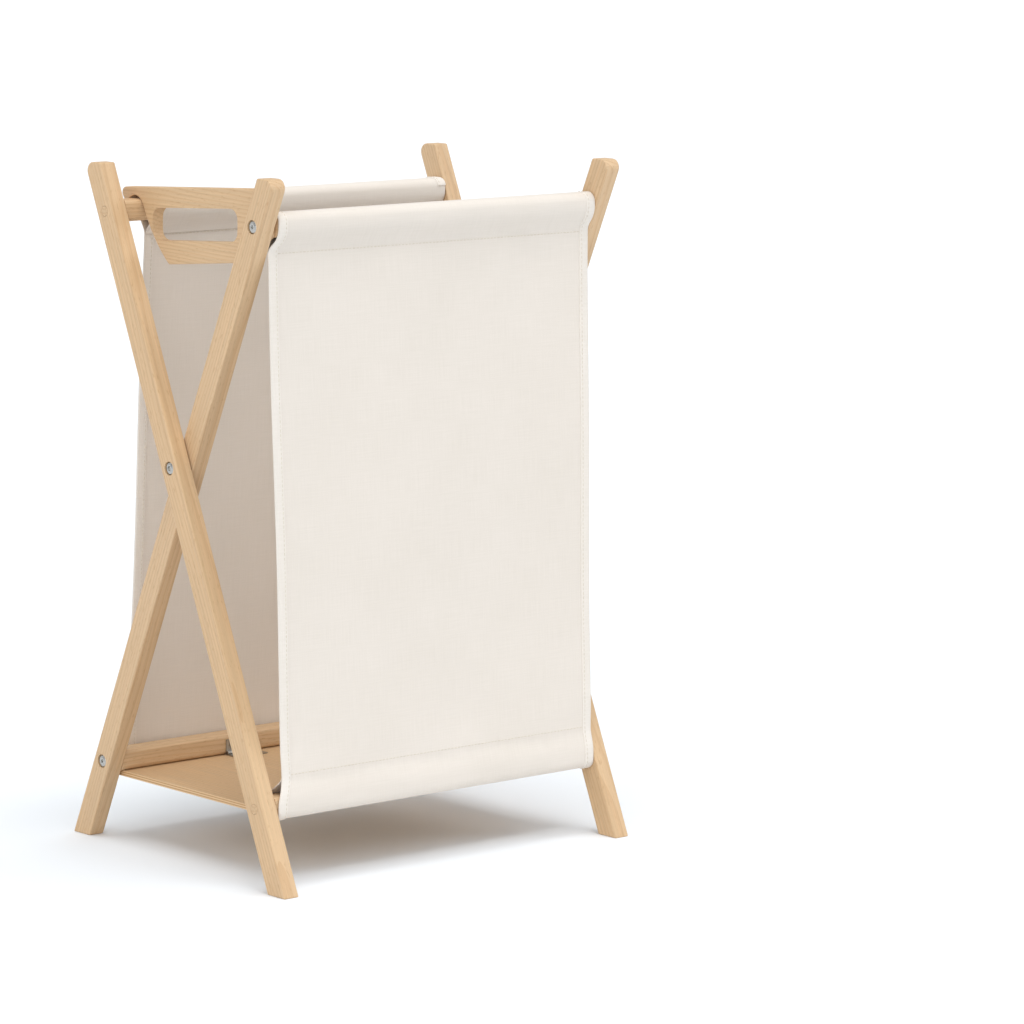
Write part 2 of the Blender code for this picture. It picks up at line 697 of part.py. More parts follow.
def signed_area(outline):
    return sum(a.x * b.y - b.x * a.y for a, b in zip(outline, outline[1:] + outline[:1])) / 2


def make_panel(name, front, owner):
    top, bottom, down, outward = side_line(front)
    end_face = HEM_FACE if front else BACK_FACE
    start = top + down * (HEM_TAIL_TOP + TOUCH)
    end = bottom - down * (HEM_TAIL_BOTTOM + TOUCH) if front else bottom + down * BACK_TUCK
    outline = [start + outward * HEM_FACE, start + outward * (HEM_FACE - FABRIC),
               end + outward * (end_face - FABRIC), end + outward * end_face]
    if signed_area(outline) < 0:
        outline.reverse()
    if front:
        top_span = (FABRIC_LEFT_PANEL, FABRIC_RIGHT_B)
        bottom_span = (FABRIC_LEFT_LOW, FABRIC_RIGHT_A)
    else:
        top_span = (FABRIC_LEFT_BACK, FABRIC_RIGHT_A)
        bottom_span = (FABRIC_LEFT_BACK + BACK_TAPER, FABRIC_RIGHT_A - BACK_TAPER)

    def span_at(z):
        share = (z - end.y) / (start.y - end.y)
        return tuple(low + (high - low) * share for low, high in zip(bottom_span, top_span))

    return add_piece(name, prism_mesh(name, outline, None, span_at), owner, canvas(name))


def build():
    clear_scene()
    frame_a = body("frame_a", (0.0, 0.0))
    frame_b = body("frame_b", PIVOT, frame_a)
    handle = body("handle", HANDLE_PIVOT, frame_b)
    base = body("base", HINGE_AXIS, frame_b)
    owners = {"a": frame_a, "b": frame_b}
    for place in LEG_X:
        make_leg(place, owners[place[0]])
    rails = {name: make_rail(name, owners[spec[0]]) for name, spec in RAILS.items()}
    bore_rail_for_hinges(rails["rail_bottom_back"], frame_b)
    for end in ("left", "right"):
        make_pivot(end, frame_a)
        for name in ("rail_top_back", "rail_bottom_front"):
            make_dowel(name, end, frame_a)
        for name in ("rail_top_front", "rail_bottom_back"):
            make_rail_bolt(name, end, frame_b)
    make_handle(handle)
    make_base(base)
    for side in (-1, 1):
        make_hinge(side, base, frame_b)
    make_screws(base, frame_b)
    make_hem("hem_top_front", True, True, (FABRIC_LEFT, FABRIC_RIGHT_B), frame_b)
    make_hem("hem_top_back", False, True, (FABRIC_LEFT_BACK, FABRIC_RIGHT_A), frame_a)
    make_hem("hem_bottom_front", True, False, (FABRIC_LEFT_HEM_LOW, FABRIC_RIGHT_A), frame_a)
    make_panel("panel_front", True, frame_b)
    make_panel("panel_back", False, frame_a)


build()
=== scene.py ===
"""A folding X-frame laundry hamper in beech and canvas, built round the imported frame.

X runs along the hamper, -Y is its front and Z is up, in metres. The sections follow the order of assembly.
"""
import math

import bmesh
import bpy
import numpy as np
from mathutils import Euler, Matrix, Vector


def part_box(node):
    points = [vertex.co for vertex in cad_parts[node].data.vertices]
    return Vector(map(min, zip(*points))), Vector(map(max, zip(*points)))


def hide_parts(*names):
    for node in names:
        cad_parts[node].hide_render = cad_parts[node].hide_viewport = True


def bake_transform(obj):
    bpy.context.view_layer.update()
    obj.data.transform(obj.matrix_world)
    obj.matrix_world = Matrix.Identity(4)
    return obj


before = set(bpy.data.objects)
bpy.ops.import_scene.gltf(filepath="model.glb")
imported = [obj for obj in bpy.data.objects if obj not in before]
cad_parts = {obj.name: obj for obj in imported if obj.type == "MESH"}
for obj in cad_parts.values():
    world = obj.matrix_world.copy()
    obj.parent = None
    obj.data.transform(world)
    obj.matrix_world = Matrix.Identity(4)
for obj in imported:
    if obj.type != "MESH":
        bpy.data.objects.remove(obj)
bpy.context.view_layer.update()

# ---------------------------------------------------------------------------------------------
# Legs. Four laths of steamed beech, planed to 25 x 18 mm, with eased edges and rounded tops.
# The grain runs the length of each lath, and a thin matt oil leaves the pores open.
# ---------------------------------------------------------------------------------------------


def linear(sheet_colour):
    """An sRGB hex colour as the linear RGBA that a shader wants."""
    values = [int(sheet_colour[start:start + 2], 16) / 255 for start in (1, 3, 5)]
    curve = [v / 12.92 if v <= 0.04045 else ((v + 0.055) / 1.055) ** 2.4 for v in values]
    return (*curve, 1.0)


def add(tree, kind, inputs=None, **settings):
    """Add a node with its settings. Each input takes a value or the socket that feeds it."""
    node = tree.nodes.new(kind)
    for key, value in settings.items():
        setattr(node, key, value)
    for key, value in (inputs or {}).items():
        if isinstance(value, bpy.types.NodeSocket):
            tree.links.new(value, node.inputs[key])
        else:
            node.inputs[key].default_value = value
    return node


def new_finish(name, roughness, metallic=0.0):
    """An empty material with its shader, and the tree to build its pattern in."""
    finish = bpy.data.materials.new(name)
    finish.use_nodes = True
    shader = finish.node_tree.nodes["Principled BSDF"]
    shader.inputs["Roughness"].default_value = roughness
    shader.inputs["Metallic"].default_value = metallic
    return finish, finish.node_tree, shader


RING_WIDTH = 0.0042
RING_SHOW = 0.34
FIBRE_ACROSS = 0.0011
FIBRE_ALONG = 0.055
FLECK_ACROSS = 0.0013
FLECK_ALONG = 0.0065
BEECH_PALE = "#d9ba95"
BEECH_MID = "#cfac81"
BEECH_LATE = "#ba8f63"
BEECH_FLECK = "#ac8156"


def beech(name, grain_turn, heart, tone=1.0):
    """Planed beech: pale tan growth rings with thin late-wood lines, fine fibres and short ray flecks.

    grain_turn brings the grain onto the pattern's Z, and heart is where the trunk's centre would be.
    The flecks and fibres of real beech are half this width. They are drawn coarser so that they show.
    """
    finish, tree, shader = new_finish(name, 0.52)
    place = add(tree, "ShaderNodeTexCoord").outputs["Object"]
    grain = add(tree, "ShaderNodeMapping", {"Vector": place, "Rotation": grain_turn, "Location": heart})
    slow = add(tree, "ShaderNodeMapping", {"Vector": grain.outputs[0], "Scale": (14, 14, 2.2)})
    wander = add(tree, "ShaderNodeTexNoise", {"Vector": slow.outputs[0], "Scale": 1.0, "Detail": 2.0})
    drift = add(tree, "ShaderNodeVectorMath", {0: wander.outputs["Color"], 1: (0.5, 0.5, 0.5)},
                operation="SUBTRACT")
    push = add(tree, "ShaderNodeVectorMath", {0: drift.outputs[0], 1: (0.030, 0.030, 0.0)},
               operation="MULTIPLY")
    bent = add(tree, "ShaderNodeVectorMath", {0: grain.outputs[0], 1: push.outputs[0]}, operation="ADD")
    rings = add(tree, "ShaderNodeTexWave", {"Vector": bent.outputs[0], "Scale": math.pi / 10 / RING_WIDTH,
                                            "Distortion": 0.0}, wave_type="RINGS",
                rings_direction="Z", wave_profile="SAW")
    late = add(tree, "ShaderNodeMapRange", {"Value": rings.outputs["Fac"], "From Min": 0.45, "From Max": 1.0},
               interpolation_type="SMOOTHSTEP")
    fine = add(tree, "ShaderNodeMapping", {"Vector": grain.outputs[0],
                                           "Scale": (1 / FIBRE_ACROSS, 1 / FIBRE_ACROSS, 1 / FIBRE_ALONG)})
    fibre = add(tree, "ShaderNodeTexNoise", {"Vector": fine.outputs[0], "Scale": 0.5, "Detail": 3.0,
                                             "Roughness": 0.65})
    short = add(tree, "ShaderNodeMapping", {"Vector": grain.outputs[0],
                                            "Scale": (1 / FLECK_ACROSS, 1 / FLECK_ACROSS, 1 / FLECK_ALONG)})
    specks = add(tree, "ShaderNodeTexNoise", {"Vector": short.outputs[0], "Scale": 0.8, "Detail": 1.0})
    fleck = add(tree, "ShaderNodeMapRange", {"Value": specks.outputs["Fac"], "From Min": 0.62,
                                             "From Max": 0.72, "To Max": 0.35})
    broad = add(tree, "ShaderNodeTexNoise", {"Vector": slow.outputs[0], "Scale": 0.7, "Detail": 1.0})
    ground = add(tree, "ShaderNodeMix", {"Factor": broad.outputs["Fac"], 6: linear(BEECH_PALE),
                                         7: linear(BEECH_MID)}, data_type="RGBA")
    ring_share = add(tree, "ShaderNodeMath", {0: late.outputs[0], 1: RING_SHOW}, operation="MULTIPLY")
    ringed = add(tree, "ShaderNodeMix", {"Factor": ring_share.outputs[0], 6: ground.outputs[2],
                                         7: linear(BEECH_LATE)}, data_type="RGBA")
    flecked = add(tree, "ShaderNodeMix", {"Factor": fleck.outputs[0], 6: ringed.outputs[2],
                                          7: linear(BEECH_FLECK)}, data_type="RGBA")
    streak = add(tree, "ShaderNodeMapRange", {"Value": fibre.outputs["Fac"], "From Min": 0.3, "From Max": 0.7,
                                              "To Min": 0.90 * tone, "To Max": 1.07 * tone})
    toned = add(tree, "ShaderNodeVectorMath", {0: flecked.outputs[2], 3: streak.outputs[0]},
                operation="SCALE")
    tree.links.new(toned.outputs[0], shader.inputs["Base Color"])
    satin = add(tree, "ShaderNodeMapRange", {"Value": fibre.outputs["Fac"], "From Min": 0.3, "From Max": 0.7,
                                             "To Min": 0.46, "To Max": 0.60})
    tree.links.new(satin.outputs[0], shader.inputs["Roughness"])
    relief = add(tree, "ShaderNodeMath", {0: fibre.outputs["Fac"], 1: ring_share.outputs[0]},
                 operation="SUBTRACT")
    bump = add(tree, "ShaderNodeBump", {"Height": relief.outputs[0], "Strength": 0.35, "Distance": 0.00025})
    tree.links.new(bump.outputs[0], shader.inputs["Normal"])
    return finish


def dress(node, finish):
    """Give a carried-over CAD piece its finish."""
    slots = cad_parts[node].material_slots
    for slot in slots:
        slot.link = "OBJECT"
        slot.material = finish


LEG_LEAN = math.radians(23.3)
LEG_WOOD = {
    "a_left": ((LEG_LEAN, 0, 0), (0.270, 0.052, 0.11), 1.0),
    "b_left": ((-LEG_LEAN, 0, 0), (0.245, -0.071, 0.63), 0.985),
    "a_right": ((LEG_LEAN, 0, 0), (-0.160, 0.064, 0.37), 0.99),
    "b_right": ((-LEG_LEAN, 0, 0), (-0.190, -0.045, 0.92), 1.01),
}
for place, (turn, heart, tone) in LEG_WOOD.items():
    dress("leg_" + place, beech("beech_leg_" + place, turn, heart, tone))

# ---------------------------------------------------------------------------------------------
# Rails. Four 22 mm square rails of the same beech, rounded along their long edges, that tie each
# frame's two legs together: frame A's are dowelled and glued, frame B's are bolted.
# ---------------------------------------------------------------------------------------------
ALONG_X = (0, -math.pi / 2, 0)
RAIL_WOOD = {
    "rail_top_front": ((0.0, 0.150, 0.30), 1.0),
    "rail_top_back": ((0.0, -0.160, 1.10), 1.0),
    "rail_bottom_front": ((0.03, 0.180, 2.30), 0.98),
    "rail_bottom_back": ((-0.05, -0.085, 3.20), 0.97),
}
for rail, (heart, tone) in RAIL_WOOD.items():
    dress(rail, beech("beech_" + rail, ALONG_X, heart, tone))

# ---------------------------------------------------------------------------------------------
# Dowels. Plain 10 mm beech dowels, glued through frame A's legs into the rails and cut flush,
# so that their end grain shows as a faint disc on the leg.
# ---------------------------------------------------------------------------------------------
DOWEL_TONE = 0.95
for rail in ("top_back", "bottom_front"):
    for end in ("left", "right"):
        name = f"dowel_{rail}_{end}"
        low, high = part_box(name)
        centre = (low + high) / 2
        finish = beech("beech_" + name, ALONG_X, (centre.z + 0.012, -centre.y, 0.1), DOWEL_TONE)
        dress(name, finish)

# ---------------------------------------------------------------------------------------------
# Bolts, washers and cap nuts. Steel, cold headed and nickel plated, and sunk in round seats in
# the legs: two socket-head pivots, and four cross-head bolts into frame B's rails.
# ---------------------------------------------------------------------------------------------
NICKEL = "#c9c8c4"
NICKEL_TARNISH = "#a3a09a"
TUMBLE_MARK = 0.0012


def nickel_plate(name, dull=0.24):
    """Nickel-plated steel: a warm grey mirror, softened by tumbling marks about a millimetre apart."""
    finish, tree, shader = new_finish(name, dull, 1.0)
    place = add(tree, "ShaderNodeTexCoord").outputs["Object"]
    marks = add(tree, "ShaderNodeTexNoise", {"Vector": place, "Scale": 1 / TUMBLE_MARK, "Detail": 3.0})
    tint = add(tree, "ShaderNodeMix", {"Factor": marks.outputs["Fac"], 6: linear(NICKEL),
                                       7: linear(NICKEL_TARNISH)}, data_type="RGBA")
    tree.links.new(tint.outputs[2], shader.inputs["Base Color"])
    worn = add(tree, "ShaderNodeMapRange", {"Value": marks.outputs["Fac"], "From Min": 0.3, "From Max": 0.7,
                                            "To Min": dull * 0.8, "To Max": dull * 1.35})
    tree.links.new(worn.outputs[0], shader.inputs["Roughness"])
    bump = add(tree, "ShaderNodeBump", {"Height": marks.outputs["Fac"], "Strength": 0.12,
                                        "Distance": 0.0001})
    tree.links.new(bump.outputs[0], shader.inputs["Normal"])
    return finish


plated = nickel_plate("nickel_plated_steel")
for end in ("left", "right"):
    for name in ("pivot_bolt_", "pivot_washer_", "pivot_nut_", "bolt_top_front_", "bolt_bottom_back_"):
        dress(name + end, plated)

# ---------------------------------------------------------------------------------------------
# Handle board. A 13 mm beech board with a routed hand slot, hung on frame B's top bolt and
# notched to sit over the back rail. Its grain runs front to back.
# ---------------------------------------------------------------------------------------------
ALONG_Y = (math.pi / 2, 0, 0)
dress("handle_board", beech("beech_handle_board", ALONG_Y, (0.262, -0.035, 0.4), 0.985))

# ---------------------------------------------------------------------------------------------
# Base board. Thin beech-faced plywood, cut square and sanded, that hangs on two butt hinges
# under the back rail and swings up as the frames close.
# ---------------------------------------------------------------------------------------------
PLY_THICK = 0.0012
PLY_DARK = "#b98d5e"
PLY_LIGHT = "#dcbb90"


def plywood(name):
    """Beech plywood: rotary-cut face veneer with wide wavy figure, and dark and light plies at its edges."""
    finish = beech(name, ALONG_Y, (0.31, 0.022, 0.2), 1.0)
    tree = finish.node_tree
    shader = tree.nodes["Principled BSDF"]
    face = shader.inputs["Base Color"].links[0].from_socket
    place = add(tree, "ShaderNodeTexCoord").outputs["Object"]
    height = add(tree, "ShaderNodeSeparateXYZ", {"Vector": place}).outputs["Z"]
    layer = add(tree, "ShaderNodeMath", {0: height, 1: math.pi / PLY_THICK}, operation="MULTIPLY")
    band = add(tree, "ShaderNodeMath", {0: layer.outputs[0]}, operation="SINE")
    share = add(tree, "ShaderNodeMapRange", {"Value": band.outputs[0], "From Min": -0.4, "From Max": 0.4})
    plies = add(tree, "ShaderNodeMix", {"Factor": share.outputs[0], 6: linear(PLY_DARK),
                                        7: linear(PLY_LIGHT)}, data_type="RGBA")
    facing = add(tree, "ShaderNodeNewGeometry").outputs["Normal"]
    upward = add(tree, "ShaderNodeSeparateXYZ", {"Vector": facing}).outputs["Z"]
    flat = add(tree, "ShaderNodeMath", {0: upward}, operation="ABSOLUTE")
    mixed = add(tree, "ShaderNodeMix", {"Factor": flat.outputs[0], 6: plies.outputs[2], 7: face},
                data_type="RGBA")
    tree.links.new(mixed.outputs[2], shader.inputs["Base Color"])
    return finish


dress("base_board", plywood("beech_plywood_base"))

# ---------------------------------------------------------------------------------------------
# Hinges. Two pressed-steel butt hinges, zinc plated, each with a leaf under the back rail, a leaf
# on the board, a pin, and four small wood screws.
# ---------------------------------------------------------------------------------------------
zinc = nickel_plate("zinc_plated_steel", 0.34)
for side in ("left", "right"):
    for name in ("hinge_rail_leaf_", "hinge_base_leaf_", "hinge_pin_"):
        dress(name + side, zinc)
for index in range(1, 5):
    dress(f"base_screw_{index}", zinc)
    dress(f"rail_screw_{index}", zinc)

# ---------------------------------------------------------------------------------------------
# Front canvas. One length of heavy cotton canvas, turned round the top front rail and the bottom
# front rail and stitched back to itself, so that the two sleeves hold it taut between the frames.
# ---------------------------------------------------------------------------------------------
CLOTH_THICK = 0.0009
SLEEVE_HALF = 0.0126
SLEEVE_ROUND = 0.0085
SEAM_DROP_TOP = 0.0262
SEAM_RISE_BOTTOM = 0.0292
FOOT_LEAN = 0.0085
FLARE_DROP = 0.0125
SEAM_FACE = 0.0006
LAYER = 0.00105
EDGE_TURN = 0.0100
ARC_STEPS = 7
CURVE_STEPS = 12
PANEL_ROWS = 120
COLUMNS = 110
WAIST = 0.0012
CANVAS_WARP = "#e3dad0"
CANVAS_WEFT = "#ddd4c9"
THREAD_PITCH = 0.0013
SEAM_SEARCH = 0.04
SEAM_APART = 0.1


def unbleached_canvas(name, warp=CANVAS_WARP, weft=CANVAS_WEFT):
    """Half-bleached cotton canvas in plain weave: a dry off-white with slubs along both threads.

    Real canvas has a thread every 0.6 mm. It is drawn at twice that, so that the weave shows.
    """
    finish, tree, shader = new_finish(name, 0.88)
    shader.inputs["Sheen Weight"].default_value = 0.12
    shader.inputs["Sheen Roughness"].default_value = 0.45
    shader.inputs["Specular IOR Level"].default_value = 0.25
    cloth = add(tree, "ShaderNodeUVMap", uv_map="cloth").outputs[0]
    axes = add(tree, "ShaderNodeSeparateXYZ", {"Vector": cloth})
    sines = []
    for axis in ("X", "Y"):
        turns = add(tree, "ShaderNodeMath", {0: axes.outputs[axis], 1: 2 * math.pi / THREAD_PITCH},
                    operation="MULTIPLY")
        sines.append(add(tree, "ShaderNodeMath", {0: turns.outputs[0]}, operation="SINE").outputs[0])
    weave = add(tree, "ShaderNodeMath", {0: sines[0], 1: sines[1]}, operation="MULTIPLY")
    slubs = []
    for scale in ((900, 28, 1), (28, 900, 1)):
        run = add(tree, "ShaderNodeMapping", {"Vector": cloth, "Scale": scale})
        slubs.append(add(tree, "ShaderNodeTexNoise", {"Vector": run.outputs[0], "Scale": 1.0,
                                                      "Detail": 2.0}).outputs["Fac"])
    slub = add(tree, "ShaderNodeMath", {0: slubs[0], 1: slubs[1]}, operation="ADD")
    patch = add(tree, "ShaderNodeTexNoise", {"Vector": cloth, "Scale": 9.0, "Detail": 3.0})
    blotch = add(tree, "ShaderNodeMath", {0: slub.outputs[0], 1: patch.outputs["Fac"]}, operation="ADD")
    share = add(tree, "ShaderNodeMapRange", {"Value": blotch.outputs[0], "From Min": 1.1, "From Max": 1.9})
    tint = add(tree, "ShaderNodeMix", {"Factor": share.outputs[0], 6: linear(warp), 7: linear(weft)},
               data_type="RGBA")
    tree.links.new(tint.outputs[2], shader.inputs["Base Color"])
    heap = add(tree, "ShaderNodeMath", {0: weave.outputs[0], 1: 0.35, 2: slub.outputs[0]},
               operation="MULTIPLY_ADD")
    bump = add(tree, "ShaderNodeBump", {"Height": heap.outputs[0], "Strength": 0.16, "Distance": 0.0003})
    tree.links.new(bump.outputs[0], shader.inputs["Normal"])
    return finish


def bezier(first, first_out, last_in, last, steps):
    """Points of a cubic curve, without its first one."""
    found = []
    for step in range(1, steps + 1):
        t = step / steps
        k = (1 - t) ** 3, 3 * (1 - t) ** 2 * t, 3 * (1 - t) * t * t, t ** 3
        found.append(k[0] * first + k[1] * first_out + k[2] * last_in + k[3] * last)
    return found


def sleeve(centre, seam, up):
    """A sleeve's section round a rail: from its inner layer at the seam, over the rail, to the seam.

    Points are (outward, height). up is 1 where the panel hangs down from the rail and -1 where it rises.
    """
    away = np.array([1.0, 0.0])
    rise = np.array([0.0, float(up)])
    inner = seam - away * LAYER
    back = centre - away * SLEEVE_HALF
    front = centre + away * SLEEVE_HALF
    reach = abs(seam[1] - centre[1])
    loop = [inner]
    loop += bezier(inner, inner + rise * reach * 0.34, back - rise * reach * 0.50, back, CURVE_STEPS)
    for side, start in ((-1, 180), (1, 90)):
        corner = centre + away * side * (SLEEVE_HALF - SLEEVE_ROUND) + rise * (SLEEVE_HALF - SLEEVE_ROUND)
        for step in range(ARC_STEPS + 1):
            angle = math.radians(start - 90 * step / ARC_STEPS)
            loop.append(corner + SLEEVE_ROUND * (away * math.cos(angle) + rise * math.sin(angle)))
    loop.append(front)
    loop += bezier(front, front - rise * reach * 0.50, seam + rise * reach * 0.34, seam, CURVE_STEPS)
    return loop


def rail_centre(name, front):
    """The middle of a rail's section, as (outward, height)."""
    low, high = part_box(name)
    middle = (low + high) / 2
    return np.array([-middle.y if front else middle.y, middle.z])


def span_of(node, pick):
    """A panel's lowest or highest row of corners, as its left and right ends in X."""
    points = [v.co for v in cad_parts[node].data.vertices]
    level = pick(p.z for p in points)
    row = [p.x for p in points if abs(p.z - level) < 0.004]
    return min(row), max(row)


def lay_out(points, spans):
    """A cloth's section as arrays: the points, the way out of the cloth, the run, and the X spans."""
    section = np.array(points)
    keep = np.concatenate([[True], np.linalg.norm(np.diff(section, axis=0), axis=1) > 1e-6])
    section = section[keep]
    ends = np.array(spans)[keep]
    tangent = np.gradient(section, axis=0)
    tangent /= np.linalg.norm(tangent, axis=1)[:, None]
    out = np.stack([-tangent[:, 1], tangent[:, 0]], axis=1)
    run = np.concatenate([[0], np.cumsum(np.linalg.norm(np.diff(section, axis=0), axis=1))])
    return {"points": section, "out": out, "run": run, "ends": ends}


def nearest_row(cloth, point, beyond):
    """The row of a cloth's section that lies nearest to a point, past a distance along its run."""
    reach = np.linalg.norm(cloth["points"] - point, axis=1)
    return int(np.argmin(np.where(cloth["run"] > beyond, reach, 9)))


def ease(t):
    """A smooth step from 0 to 1."""
    t = np.clip(t, 0, 1)
    return t * t * (3 - 2 * t)


def ripples(x, run, cloth):
    """How far the cloth stands off its section: gathers under the seams and a slow uneven billow."""
    top, bottom = cloth["seams"]
    below = np.clip(run - top, 0, None)
    above = np.clip(bottom - run, 0, None)
    on_panel = ease(below / 0.03) * ease(above / 0.03)
    seed = cloth["seed"]
    lift = 0.0009 * np.sin(x * 21 + seed + 3 * run) * on_panel
    lift += 0.0007 * np.sin(x * 47 + 2.1 * seed) * np.exp(-below / 0.12) * on_panel
    lift += 0.0005 * np.sin(x * 83 + 1.3 * seed + 22 * run) * np.exp(-below / 0.05) * on_panel
    lift += 0.0006 * np.sin(x * 39 - 1.7 * seed - 9 * run) * np.exp(-above / 0.09) * on_panel
    lift += 0.0008 * np.sin(run * 17 + 5 * x + seed) * on_panel
    for seam in (top, bottom):
        near = np.exp(-((run - seam) / 0.007) ** 2)
        lift += 0.00022 * np.sin(x * 430 + 2.0 * np.sin(x * 61 + seed)) * near
    sleeve_top = ease((top - run) / 0.012) * ease((run - top + 0.050) / 0.02)
    lift += 0.00045 * np.sin(x * 58 + 0.9 * seed + 60 * run) * sleeve_top * ease((top - run) / 0.02)
    sleeve_low = ease((run - bottom) / 0.012) * ease((bottom + 0.045 - run) / 0.02)
    lift += 0.00045 * np.sin(x * 44 - seed - 70 * run) * sleeve_low
    return lift


def on_cloth(cloth, across, run, off=0.0):
    """Points on a cloth at shares across it and distances along its run, moved off its middle."""
    across, run = np.broadcast_arrays(np.asarray(across, float), np.asarray(run, float))
    o = np.interp(run, cloth["run"], cloth["points"][:, 0])
    z = np.interp(run, cloth["run"], cloth["points"][:, 1])
    out_o = np.interp(run, cloth["run"], cloth["out"][:, 0])
    out_z = np.interp(run, cloth["run"], cloth["out"][:, 1])
    left = np.interp(run, cloth["run"], cloth["ends"][:, 0])
    right = np.interp(run, cloth["run"], cloth["ends"][:, 1])
    x = left + (right - left) * across
    lift = ripples(x, run, cloth) + off
    y = (o + out_o * lift) * (-1 if cloth["front"] else 1)
    return np.stack([x, y, z + out_z * lift], axis=-1)


def grid_mesh(name, rows, uv_rows):
    """A sheet of quads through rows of points, with its own flat measures as a UV map."""
    count, width = rows.shape[:2]
    mesh = bpy.data.meshes.new(name)
    corners = [(r * width + c, r * width + c + 1, (r + 1) * width + c + 1, (r + 1) * width + c)
               for r in range(count - 1) for c in range(width - 1)]
    mesh.from_pydata(rows.reshape(-1, 3).tolist(), [], corners)
    layer = mesh.uv_layers.new(name="cloth")
    flat = uv_rows.reshape(-1, 2)
    picked = flat[[loop.vertex_index for loop in mesh.loops]]
    layer.data.foreach_set("uv", picked.astype(np.float32).ravel())
    return mesh


def settle(piece):
    """Turn a piece and its modifiers into a plain mesh with smooth faces that point outwards."""
    bpy.context.view_layer.update()
    shape = piece.evaluated_get(bpy.context.evaluated_depsgraph_get())
    made = bpy.data.meshes.new_from_object(shape)
    piece.modifiers.clear()
    piece.data = made
    bm = bmesh.new()
    bm.from_mesh(made)
    bmesh.ops.recalc_face_normals(bm, faces=bm.faces)
    bm.to_mesh(made)
    bm.free()
    made.shade_smooth()
    made.set_sharp_from_angle(angle=math.radians(50))
    return piece


def sew_sheet(name, rows, uv_rows, thick, finish):
    """A sheet of cloth with its real thickness."""
    piece = bpy.data.objects.new(name, grid_mesh(name, rows, uv_rows))
    bpy.context.collection.objects.link(piece)
    piece.data.materials.append(finish)
    wall = piece.modifiers.new("wall", "SOLIDIFY")
    wall.thickness = thick
    wall.offset = 0.0
    return settle(piece)


def canvas_sheet(name, cloth, finish):
    """A cloth as one sheet, from edge to edge and along its whole run."""
    runs = cloth["run"]
    across = np.linspace(0, 1, COLUMNS + 1)
    rows = on_cloth(cloth, across[None, :], runs[:, None])
    left, right = cloth["ends"][:, 0], cloth["ends"][:, 1]
    flat_x = left[:, None] + (right - left)[:, None] * across[None, :]
    uv_rows = np.stack([flat_x, np.broadcast_to(runs[:, None], flat_x.shape)], axis=-1)
    return sew_sheet(name, rows, uv_rows, CLOTH_THICK, finish)


def front_cloth():
    """The front canvas: the upper sleeve, the panel, which leans out at its foot, and the lower sleeve."""
    top = rail_centre("rail_top_front", True)
    bottom = rail_centre("rail_bottom_front", True)
    down = (bottom - top) / np.linalg.norm(bottom - top)
    out = np.array([-down[1], down[0]])
    seam_top = top + down * SEAM_DROP_TOP + out * SEAM_FACE
    seam_low = bottom - down * SEAM_RISE_BOTTOM + out * (SEAM_FACE + FOOT_LEAN)
    upper = sleeve(top, seam_top, 1)
    lower = sleeve(bottom, seam_low, -1)[::-1]
    middle = [seam_top + (seam_low - seam_top) * row / PANEL_ROWS for row in range(1, PANEL_ROWS)]
    hem_left, hem_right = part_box("hem_top_front")[0].x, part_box("hem_top_front")[1].x
    foot_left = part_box("hem_bottom_front")[0].x
    low_left, low_right = span_of("panel_front", min)
    top_left, top_right = span_of("panel_front", max)
    points = upper + middle + lower
    spans = []
    for index, point in enumerate(points):
        if index < len(upper):
            flare = float(ease((top[1] - FLARE_DROP - point[1]) / (SEAM_DROP_TOP - FLARE_DROP)))
            spans.append((hem_left + (top_left - hem_left) * flare,
                          hem_right + (top_right - hem_right) * flare))
        elif index < len(upper) + len(middle):
            share = (index - len(upper) + 1) / PANEL_ROWS
            waist = WAIST * math.sin(math.pi * share)
            spans.append((top_left + (low_left - top_left) * share + waist,
                          top_right + (low_right - top_right) * share - waist))
        else:
            flare = float(ease((seam_low[1] - point[1]) / SEAM_RISE_BOTTOM))
            spans.append((low_left + (foot_left - low_left) * flare, low_right))
    cloth = lay_out(points, spans)
    start = nearest_row(cloth, seam_top, SEAM_SEARCH)
    end = nearest_row(cloth, seam_low, cloth["run"][start] + SEAM_APART)
    cloth.update(seams=(cloth["run"][start], cloth["run"][end]), seed=1.7, front=True,
                 seam_points=(seam_top, seam_low))
    return cloth


canvas = unbleached_canvas("cotton_canvas")
front = front_cloth()
canvas_front = canvas_sheet("canvas_front", front, canvas)
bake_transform(canvas_front)
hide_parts("hem_top_front", "panel_front", "hem_bottom_front")

# ---------------------------------------------------------------------------------------------
# Back canvas. The same canvas, sleeved on the top back rail only. It hangs behind the bottom back
# rail and ends in a narrow turned hem just below it.
# ---------------------------------------------------------------------------------------------
TURNED_HEM = 0.014
FOOT_CLEAR = 0.0006


